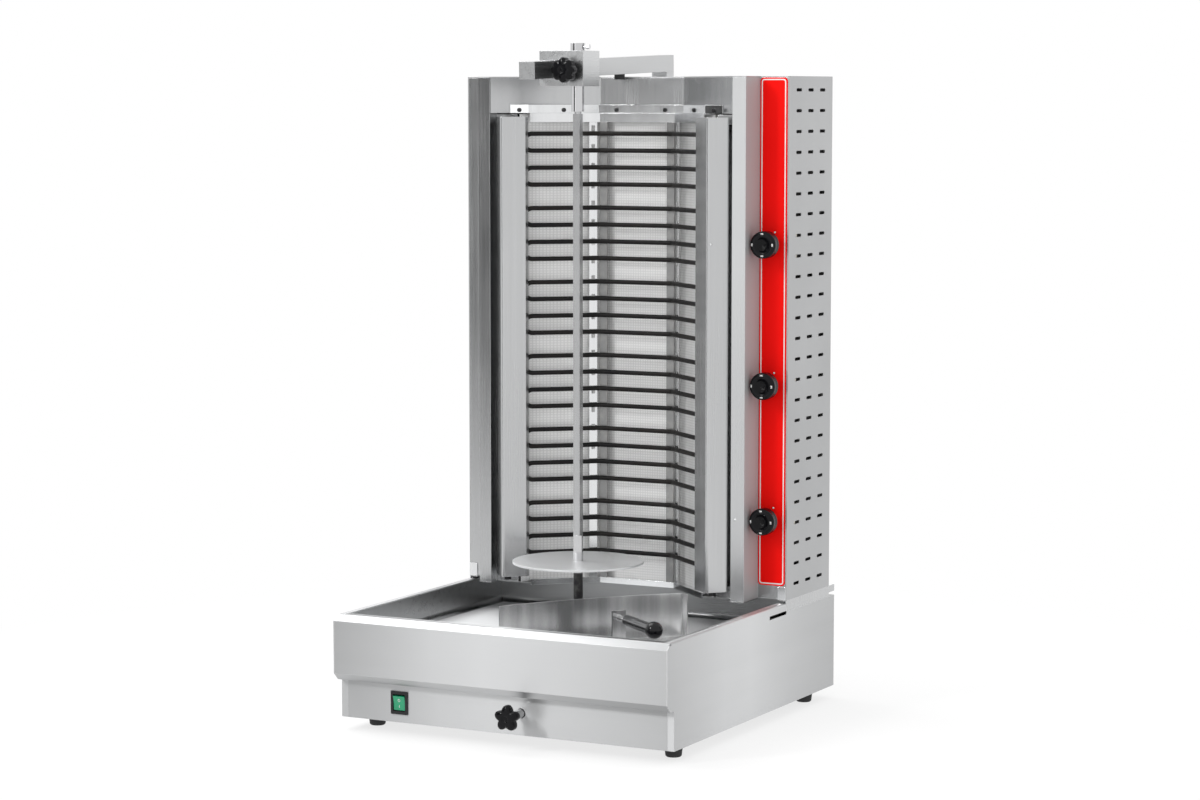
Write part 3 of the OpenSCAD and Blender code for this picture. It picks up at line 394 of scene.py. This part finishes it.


# Most steel materials below are this steel, lightened or darkened part by part to match how brightly each
# part is lit: painted light and shade.
STEEL = (0.525, 0.53, 0.535)
MATERIALS = {
    # Front sheets with a painted sheen: painted highlight in the middle, painted shade at the ends.
    "flat_x": brushed("steel_grain_x", STEEL, 0.42, "X", anisotropy=0.85, edge=1.3, sheen=0.31),
    # A lighter steel for the base's sides, also with a painted sheen: painted light.
    "flat_y": brushed("steel_grain_y", shade(STEEL, 1.12), 0.42, "Y", anisotropy=0.85, edge=1.3, sheen=0.36),
    "tower": brushed("steel_grain_z", STEEL, 0.24, "Z", bands=0.03, edge=1.5),
    # The right post's faces looking along X are duller and darker: painted shade.
    "post": brushed("steel_post", STEEL, 0.24, "Z", bands=0.03, edge=1.5, dull_and_painted_light_axis="X"),
    # A darker steel for the side and back panels and the top plate: painted shade.
    "side": brushed("steel_side", shade(STEEL, 0.9), 0.42, "Z", bands=0.02),
    # A lighter steel for the bands, rails, strips, lugs and rivets: partly a paler polished metal, partly
    # painted light.
    "bright": brushed("steel_bright", shade(STEEL, 1.45), 0.15, "Z", bands=0.04),
    # A darker steel for the drip pan, with its upward faces duller and much lighter: painted shade on its
    # walls, painted light on its floor.
    "pan": brushed("steel_pan", shade(STEEL, 0.66), 0.3, "X", bands=0.05, dull_and_painted_light_axis="Z", wall=2.5),
    # A darker steel for the parts inside: painted shade.
    "inner": brushed("steel_inner", shade(STEEL, 0.7), 0.45, "Y"),
    # A lighter steel for the meat disc: painted light.
    "disc": brushed("steel_disc", shade(STEEL, 1.5), 0.48, "X", bands=0.02),
    # A lighter steel for the scoop: painted light.
    "scoop": brushed("steel_scoop", shade(STEEL, 1.25), 0.18, "Z", bands=0.62, wide=20.0),
    # A slightly lighter steel for the top block: painted light.
    "plate": brushed("steel_plate", shade(STEEL, 1.08), 0.28, "Y", bands=0.02),
    # A slightly darker steel for the arm and mast: painted shade.
    "tube": brushed("steel_tube", shade(STEEL, 0.94), 0.3, "Y", bands=0.03),
    "bar": polished("ground_bar", (0.52, 0.525, 0.53), 0.2),
    "chrome": polished("plated", (0.62, 0.62, 0.63), 0.08),
    "dark": painted("blackened", (0.028, 0.028, 0.03), 0.42, (0.12, 0.118, 0.115), 0.6),
    "tin": painted("heat_stained", (0.30, 0.30, 0.30), 0.36, (0.40, 0.395, 0.385), 1.0),
    "motor": painted("motor_paint", (0.06, 0.062, 0.066), 0.45, (0.1, 0.1, 0.1)),
    "gear": painted("gear_case", (0.22, 0.225, 0.23), 0.5, (0.3, 0.3, 0.3), 0.8),
    "element": heated("heating_tube"),
    "reflector": embossed("reflector_foil", (0.95, 0.95, 0.945)),
    "fibre": moulded("fibre_board", (0.78, 0.76, 0.70), 0.85, grain=260.0, depth=0.6),
    "rubber": moulded("foot_rubber", (0.018, 0.018, 0.019), 0.7, grain=500.0, depth=0.4),
    "black": moulded("black_satin", (0.008, 0.008, 0.009), 0.26, 0.1, shine=0.3),
    # The handle tube's dark metal colour is a painted reflection.
    "grip": tipped("grip_and_ball", (0.22, 0.22, 0.225), (0.005, 0.005, 0.006)),
    "gloss": moulded("black_gloss", (0.004, 0.004, 0.005), 0.12, 0.06, depth=0.02, shine=0.13),
    "green": moulded("green_lens", (0.0, 0.27, 0.12), 0.22, 0.4, depth=0.05),
    "red": enamel("red_overlay", (0.93, 0.006, 0.004), (0.85, 0.004, 0.003)),
    "print": moulded("white_print", (0.84, 0.84, 0.83), 0.4, grain=700.0, depth=0.05),
    "pale": moulded("pale_plastic", (0.72, 0.69, 0.60), 0.45),
    "bronze": polished("bearing_bronze", (0.55, 0.38, 0.16), 0.3),
}

WEARS = {
    "flat_x": ["front_fascia", "lower_front_panel", "base_back"],
    "flat_y": ["base_side_right", "base_side_left"],
    "tower": ["front_panel_left", "top_fascia", "end_cover_right", "end_cover_left",
              "tower_plinth"],
    "post": ["front_panel_right"],
    "side": ["side_panel_right", "side_panel_left", "back_panel", "top_plate"],
    "bright": ["fascia_band", "lower_rail", "upper_rail", "slotted_strips", "tower_lugs"],
    "pan": ["drip_pan"],
    "inner": ["base_floor", "tower_floor", "mast_brackets", "guide_rails", "carriage_plate"],
    "disc": ["meat_disc"],
    "scoop": ["scoop"],
    "plate": ["top_block"],
    "tube": ["arm", "mast"],
    "bar": ["spit_bar", "adjuster_rod"],
    "chrome": ["disc_hub", "sleeve", "shaft_bearing"],
    "dark": ["drive_shaft", "cover_brackets", "band_screws"],
    "tin": ["straps"],
    "motor": ["motor"],
    "gear": ["gearbox"],
    "element": ["heating_elements"],
    "reflector": ["reflector"],
    "fibre": ["insulation"],
    "rubber": ["feet", "arm_pad"],
    "black": ["switch_bezel", "cable_gland", "adjuster_knob", "clamp_knob"],
    "gloss": ["knob_top", "knob_middle", "knob_bottom"],
    "grip": ["scoop_grip"],
    "green": ["switch_rocker"],
    "red": ["control_panel"],
    "pale": ["rotary_switches", "terminal_block"],
    "bronze": ["slide_bushes"],
}


def dress(node, material):
    """Gives a carried-over node its material."""
    slots = NODES[node].data.materials
    slots.clear()
    slots.append(material)


for look, members in WEARS.items():
    for member in members:
        dress(member, MATERIALS[look])


# ------------------------------------------------------------------- pieces


def piece(name, mesh, look, body, smooth=True):
    """Turns a bmesh into an object that rides on a body."""
    data = bpy.data.meshes.new(name)
    bmesh.ops.recalc_face_normals(mesh, faces=mesh.faces)
    mesh.to_mesh(data)
    mesh.free()
    data.materials.append(MATERIALS[look])
    for face in data.polygons:
        face.use_smooth = smooth
    made = bpy.data.objects.new(name, data)
    bpy.context.scene.collection.objects.link(made)
    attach(made, body)
    return made


def ring_of(mesh, points):
    """New vertices at these points, as one closed outline."""
    return [mesh.verts.new(p) for p in points]


def bridge(mesh, a, b):
    """Joins two closed outlines of as many points by a band of faces."""
    count = len(a)
    for i in range(count):
        j = (i + 1) % count
        mesh.faces.new((a[i], a[j], b[j], b[i]))


def rounded_rect(wide, high, radius, steps=8):
    """Corner-rounded rectangle about the origin, as (across, up) pairs."""
    points = []
    for k, (sx, sz) in enumerate(((1, 1), (-1, 1), (-1, -1), (1, -1))):
        for i in range(steps + 1):
            turn = math.radians(90 * k + 90 * i / steps)
            points.append((sx * (wide / 2 - radius) + radius * math.cos(turn),
                           sz * (high / 2 - radius) + radius * math.sin(turn)))
    return points


def frame_strip(mesh, centre, outer, inner, thick):
    """A flat printed frame on a wall that faces the front: two outlines and a small thickness."""
    rings = []
    for outline, depth in ((outer, 0.0), (outer, thick), (inner, thick), (inner, 0.0)):
        rings.append(ring_of(mesh, [centre + Vector((x, -depth, z)) for x, z in outline]))
    for a, b in zip(rings, rings[1:] + rings[:1]):
        bridge(mesh, a, b)


def circle(centre, radius, behind, steps):
    """Points round a circle that faces the front, some way behind its centre's plane."""
    turns = [2 * math.pi * i / steps for i in range(steps)]
    return [centre + Vector((radius * math.cos(t), behind, radius * math.sin(t))) for t in turns]


def disc(mesh, centre, radius, thick, steps=24):
    """A thin round mark with a bevelled edge, standing forward of its centre."""
    rings = []
    for r, depth in ((radius, 0.0), (radius, thick * 0.6), (radius * 0.85, thick)):
        rings.append(ring_of(mesh, circle(centre, r, -depth, steps)))
    for a, b in zip(rings, rings[1:]):
        bridge(mesh, a, b)
    mesh.faces.new(rings[-1])
    mesh.faces.new(rings[0])


# Each control knob's node, and the body that turns it.
KNOBS = {"knob_top": "knob_high", "knob_middle": "knob_mid", "knob_bottom": "knob_low"}


def panel_line():
    """The thin pale line inset round the red panel."""
    low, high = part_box("control_panel")
    inset, line, thick = 1.9 * MM, 1.7 * MM, 0.12 * MM
    outer_corner, inner_corner = 4.0 * MM, 2.6 * MM
    wide, tall = high.x - low.x, high.z - low.z
    centre = Vector(((low.x + high.x) / 2, low.y, (low.z + high.z) / 2))
    outer = rounded_rect(wide - 2 * inset, tall - 2 * inset, outer_corner)
    reach = inset + line
    inner = rounded_rect(wide - 2 * reach, tall - 2 * reach, inner_corner)
    mesh = bmesh.new()
    frame_strip(mesh, centre, outer, inner, thick)
    piece("panel_line", mesh, "print", "stand", False)


def index_marks():
    """A small pale dot on the panel above each knob."""
    aside, above = 2.5 * MM, 16.2 * MM
    radius, thick = 1.5 * MM, 0.15 * MM
    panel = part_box("control_panel")[0].y
    mesh = bmesh.new()
    for node in KNOBS:
        low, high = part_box(node)
        centre = Vector(((low.x + high.x) / 2 + aside, panel, (low.z + high.z) / 2 + above))
        disc(mesh, centre, radius, thick)
    piece("index_marks", mesh, "print", "stand")


def lathe(mesh, centre, profile, steps=64, flutes=0, depth=0.0, fluted=(1.0, 0.0)):
    """Turns (distance behind the front, radius) pairs about a line to the front through centre."""
    rings = []
    for behind, radius in profile:
        points = []
        for i in range(steps):
            turn = 2 * math.pi * i / steps
            r = radius
            if flutes and fluted[0] <= behind <= fluted[1]:
                r -= depth * (0.5 + 0.5 * math.cos(flutes * turn)) ** 2
            points.append(centre + Vector((r * math.sin(turn), behind, r * math.cos(turn))))
        rings.append(ring_of(mesh, points))
    for a, b in zip(rings, rings[1:]):
        bridge(mesh, a, b)
    mesh.faces.new(rings[0])
    mesh.faces.new(rings[-1])


def arc(centre, radius, start, end, steps):
    """(distance behind, radius) pairs on a round edge, angles in degrees from straight out."""
    turns = [math.radians(start + (end - start) * i / steps) for i in range(steps + 1)]
    return [(centre[0] - radius * math.sin(t), centre[1] + radius * math.cos(t)) for t in turns]


def knob_profile(radius):
    """A control knob's outline, from the middle of its dish round the skirt to its shaft's end."""
    depth, rise, reach, curve = 7.0 * MM, 6.4 * MM, 11.0 * MM, 2.6
    front_edge, back_edge, skirt_end = 4.0 * MM, 1.6 * MM, 14.8 * MM
    hub_radius, hub_end = 8.0 * MM, 37.3 * MM
    shaft_radius, shaft_end = 4.0 * MM, 57.0 * MM
    dish = [(depth - rise * (r * MM / reach) ** curve, r * MM) for r in (0.4, 3, 5, 7, 8.5, 9.8, 10.8)]
    lip = [(0.25 * MM, 11.6 * MM), (0.0, 12.6 * MM)]
    rolled = arc((front_edge, radius - front_edge), front_edge, 88, 0, 10)
    skirt = [(d * MM, radius) for d in (5.0, 5.6, 9.0, 12.5, 13.4)]
    back = arc((skirt_end, radius - back_edge), back_edge, 0, -88, 5)
    hub = [(16.5 * MM, 9.5 * MM), (17.0 * MM, hub_radius), (hub_end, hub_radius)]
    shaft = [(hub_end + 0.1 * MM, shaft_radius), (shaft_end, shaft_radius)]
    return dish + lip + rolled + skirt + back + hub + shaft


def knob_painted_glints(node, body, centre):
    """Four short pale bars that bend over the knob's rolled edge, a quarter turn apart: painted highlights
    for the glints of the lamps on the rim.
    """
    half_width, lift, thick = 2.1 * MM, 0.05 * MM, 0.1 * MM
    steps_out = ((14.2, 0.0), (15.0, 0.0), (15.8, 0.08), (16.5, 0.32))
    marks = bmesh.new()
    for quarter in range(4):
        turn = math.radians(90 * quarter)
        out = Vector((math.sin(turn), 0.0, math.cos(turn)))
        side = Vector((math.cos(turn), 0.0, -math.sin(turn)))
        rows = []
        for reach, behind in steps_out:
            middle = centre + out * reach * MM + Vector((0.0, behind * MM - lift, 0.0))
            rows.append([marks.verts.new(middle + side * k) for k in (-half_width, half_width)])
        for a, b in zip(rows, rows[1:]):
            marks.faces.new((a[0], a[1], b[1], b[0]))
    # The bars are painted highlights, in the white print material.
    solid(piece(node + "_marks", marks, "print", body), thick)


def control_knob(node, body):
    """A dished gloss knob with a rolled rim, fluted skirt and slim hub, in place of its node."""
    low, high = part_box(node)
    centre = Vector(((low.x + high.x) / 2, low.y, (low.z + high.z) / 2))
    steps, flutes, flute_depth = 192, 48, 0.35 * MM
    fluted = (5.5 * MM, 12.8 * MM)
    mesh = bmesh.new()
    lathe(mesh, centre, knob_profile((high.x - low.x) / 2), steps, flutes, flute_depth, fluted)
    made = piece(node + "_cap", mesh, "gloss", body)
    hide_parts(node)
    knob_painted_glints(node, body, centre)


def solid(made, thick):
    """Gives an open strip a thickness."""
    skin = made.modifiers.new("thickness", "SOLIDIFY")
    skin.thickness = thick


# A star grip's outlines are given as (millimetres behind the front, share of the outer radius).
# Up to this share an outline belongs to the round cap.
CAP_SHARE = 0.3


def star_radius(lobes, high, low, turn):
    """A lobed outline's radius, between high on a lobe and low in a hollow."""
    swing = 0.5 + 0.5 * math.cos(lobes * turn)
    return low + (high - low) * swing ** 0.6


def star_ring(centre, outer, lobes, hollow, share, behind, steps=160):
    """One outline of a star grip: lobed, or round where it belongs to the cap in the middle."""
    points = []
    for i in range(steps):
        turn = 2 * math.pi * i / steps
        full = star_radius(lobes, outer, outer * hollow, turn) if share > CAP_SHARE else outer
        out = Vector((math.sin(turn), 0.0, math.cos(turn)))
        points.append(centre + out * full * share + Vector((0.0, behind, 0.0)))
    return points


def star_knob(node, axis_node, body, lobes, hollow, thick, boss):
    """A lobed grip with rolled edges, a round cap and a boss, in place of its node."""
    low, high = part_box(node)
    axis = sum(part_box(axis_node), Vector()) / 2
    centre = Vector((axis.x, low.y, axis.z))
    outer = high.z - axis.z
    cap = [(0.9, 0.14), (1.1, 0.17), (0.7, 0.19), (0.25, 0.23)]
    face = [(0.0, 0.34), (0.25, 0.60), (0.7, 0.76), (1.4, 0.88), (2.4, 0.95), (3.8, 0.99), (5.5, 1.0)]
    back = [(thick - 4.0, 1.0), (thick - 2.0, 0.975), (thick - 0.7, 0.92), (thick, 0.84)]
    mesh = bmesh.new()
    rings = []
    for behind, share in cap + face + back:
        rings.append(ring_of(mesh, star_ring(centre, outer, lobes, hollow, share, behind * MM)))
    for a, b in zip(rings, rings[1:]):
        bridge(mesh, a, b)
    mesh.faces.new(rings[0])
    mesh.faces.new(rings[-1])
    neck = [(thick - 0.1, 0.46), (thick + boss - 0.8, 0.45), (thick + boss, 0.41)]
    lathe(mesh, centre, [(behind * MM, outer * share) for behind, share in neck], 48)
    made = piece(node + "_grip", mesh, "gloss", body)
    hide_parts(node)
    return centre, thick + boss


def clamp_screw(centre, behind):
    """The clamp's threaded screw, from its grip's boss to the sleeve."""
    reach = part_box("clamp_knob")[1].y - centre.y
    root, crest, tip = 3.4 * MM, 4.0 * MM, 3.2 * MM
    pitch, plain_end, steps = 1.25 * MM, 1.4 * MM, 64
    at = behind * MM
    profile = [(at - 0.1 * MM, root)]
    while at < reach - plain_end:
        profile += [(at, root), (at + pitch * 0.45, crest), (at + pitch * 0.55, crest)]
        at += pitch
    profile += [(at, root), (reach, tip)]
    mesh = bmesh.new()
    lathe(mesh, centre, profile, steps)
    piece("clamp_screw", mesh, "bar", "clamp")


def front_wall(node, across, up):
    """The point and normal where a node's front wall lies, at shares of its width and height."""
    low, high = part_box(node)
    made = NODES[node]
    back = made.matrix_world.inverted()
    start = Vector((low.x + across * (high.x - low.x), low.y - 0.1, low.z + up * (high.z - low.z)))
    found, place, normal, _ = made.ray_cast(back @ start, back.to_3x3() @ Vector((0.0, 1.0, 0.0)))
    if not found:
        raise ValueError("no wall at this place on " + node)
    return made.matrix_world @ place, (made.matrix_world.to_3x3() @ normal).normalized()


def rivet(mesh, place, normal, steps=24):
    """A domed rivet head on a wall, from (height, radius) pairs in millimetres."""
    profile = ((-0.2, 1.9), (0.25, 1.9), (0.7, 1.5), (1.0, 0.85), (1.1, 0.3))
    side = normal.cross(Vector((0.0, 0.0, 1.0))).normalized()
    rise = side.cross(normal)
    turns = [2 * math.pi * i / steps for i in range(steps)]
    rings = []
    for height, radius in profile:
        middle = place + normal * height * MM
        rings.append(ring_of(mesh, [
            middle + (side * math.cos(t) + rise * math.sin(t)) * radius * MM for t in turns]))
    for a, b in zip(rings, rings[1:]):
        bridge(mesh, a, b)
    mesh.faces.new(rings[0])
    mesh.faces.new(rings[-1])


def rivet_heads():
    """Two small rivets: one on the right end cover, one on the right post."""
    mesh = bmesh.new()
    for node, across, up in (("end_cover_right", 0.635, 0.736), ("front_panel_right", 0.42, 0.159)):
        rivet(mesh, *front_wall(node, across, up))
    piece("rivet_heads", mesh, "bright", "stand")


def rocker_marks():
    """A ring and a bar, raised on the rocker's hollow face."""
    rest_lean, pivot_depth = 7.0, 4.0 * MM
    hollow_radius, hollow_middle, lift = 53.4, 58.4, 0.02
    ring_up, ring_outer, ring_inner, steps = 4.3, (1.9, 2.3), (1.2, 1.6), 28
    bar_half, bar_rows, thick = 0.45, (-6.4, -5.4, -4.4, -3.4, -2.4), 0.12 * MM
    low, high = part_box("switch_rocker")
    lean = Matrix.Rotation(math.radians(rest_lean), 4, "X")
    pivot = Vector(((low.x + high.x) / 2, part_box("lower_front_panel")[0].y + pivot_depth,
                    (low.z + high.z) / 2))

    def on_face(x, z):
        """A point on the hollow face, from millimetres across and up from the pivot."""
        hollow = math.sqrt(hollow_radius ** 2 - z * z) - hollow_middle - lift
        return pivot + lean @ Vector((x * MM, hollow * MM, z * MM))

    def oval(half):
        """Points round an oval on the face, from its half width and half height."""
        turns = [2 * math.pi * i / steps for i in range(steps)]
        return [on_face(half[0] * math.cos(t), ring_up + half[1] * math.sin(t)) for t in turns]

    mesh = bmesh.new()
    bridge(mesh, ring_of(mesh, oval(ring_outer)), ring_of(mesh, oval(ring_inner)))
    rows = [[mesh.verts.new(on_face(x, z)) for x in (-bar_half, bar_half)] for z in bar_rows]
    for a, b in zip(rows, rows[1:]):
        mesh.faces.new((a[0], a[1], b[1], b[0]))
    solid(piece("rocker_marks", mesh, "print", "rocker"), thick)


panel_line()
index_marks()
for knob, knob_body in KNOBS.items():
    control_knob(knob, knob_body)
rivet_heads()
rocker_marks()
star_knob("adjuster_knob", "adjuster_rod", "adjuster", 5, 0.66, 14.0, 8.0)
clamp_screw(*star_knob("clamp_knob", "clamp_knob", "clamp", 8, 0.84, 18.0, 6.0))


# ------------------------------------------------------------------- studio


def card_face(name, grey):
    """Dull paint with a faint cloudiness."""
    g = Graph(name)
    colour = (grey, grey, grey)
    cloud = g.noise(even(1.2), 2.0)
    g.put("Base Color", g.blend(g.span(cloud, 0.0, 1.0), shade(colour, 0.995), colour))
    g.put("Roughness", 0.9)
    return g.material


def paper(name, colour, near, far):
    """Floor paper that takes shadows near the object and goes over to plain white further off."""
    g = Graph(name)
    g.put("Base Color", colour + (1.0,))
    g.put("Roughness", 0.8)
    g.put("Specular IOR Level", 0.0)
    length = g.add("ShaderNodeVectorMath", operation="LENGTH")
    g.link(g.place, length.inputs[0])
    fade = g.span(length.outputs["Value"], 0.72, 1.0, near, far)
    glow = g.add("ShaderNodeEmission")
    mix = g.add("ShaderNodeMixShader")
    out = next(n for n in g.tree.nodes if n.type == "OUTPUT_MATERIAL")
    g.link(fade, mix.inputs["Fac"])
    g.link(g.shader.outputs["BSDF"], mix.inputs[1])
    g.link(glow.outputs["Emission"], mix.inputs[2])
    g.link(mix.outputs["Shader"], out.inputs["Surface"])
    return g.material


def plane(name, centre, size, material, turn=None):
    """A flat rectangle of the studio, not of the object."""
    mesh = bmesh.new()
    bmesh.ops.create_grid(mesh, x_segments=1, y_segments=1, size=0.5)
    data = bpy.data.meshes.new(name)
    mesh.to_mesh(data)
    mesh.free()
    data.materials.append(material)
    made = bpy.data.objects.new(name, data)
    made.scale = (size[0], size[1], 1.0)
    made.location = centre
    if turn is not None:
        made.rotation_mode = "QUATERNION"
        made.rotation_quaternion = turn
    bpy.context.scene.collection.objects.link(made)
    return made


def facing(place, target):
    """The rotation that points a lamp or a card at its target."""
    return (Vector(target) - Vector(place)).to_track_quat("-Z", "Y")


def lamp(name, place, target, size, power):
    """A rectangular soft lamp."""
    data = bpy.data.lights.new(name, "AREA")
    data.shape = "RECTANGLE"
    data.size, data.size_y = size
    data.energy = power
    made = bpy.data.objects.new(name, data)
    made.location = place
    made.rotation_mode = "QUATERNION"
    made.rotation_quaternion = facing(place, target)
    bpy.context.scene.collection.objects.link(made)
    return made


def card(name, place, target, size, grey):
    """A dark card beside the set: seen in the steel, not by the camera."""
    made = plane(name, place, size, card_face(name, grey), facing(place, target))
    made.visible_camera = False


def studio():
    """A pale floor in a white world, lit by soft lamps, with dark cards beside it."""
    paper_white = (FLOOR_GREY, FLOOR_GREY, FLOOR_GREY)
    plane("floor", (0, 0, 0), (FLOOR_SIZE, FLOOR_SIZE), paper("floor_paper", paper_white, 0.006, 0.020))
    world = bpy.data.worlds.new("studio_world")
    bpy.context.scene.world = world
    world.use_nodes = True
    background = world.node_tree.nodes["Background"]
    background.inputs["Color"].default_value = (1.0, 1.0, 1.0, 1.0)
    background.inputs["Strength"].default_value = 1.0
    for settings in LAMPS:
        lamp(*settings)
    for settings in CARDS:
        card(*settings)


def camera():
    """The camera of the photographed view."""
    data = bpy.data.cameras.new("camera")
    data.lens = CAMERA_LENS
    data.sensor_width = SENSOR_WIDTH
    data.shift_y = CAMERA_SHIFT
    made = bpy.data.objects.new("camera", data)
    made.location = CAMERA_PLACE
    made.rotation_euler = (math.radians(CAMERA_TILT), 0.0, math.radians(CAMERA_TURN))
    bpy.context.scene.collection.objects.link(made)
    bpy.context.scene.camera = made


studio()
camera()
bpy.context.scene.view_settings.view_transform = "Standard"
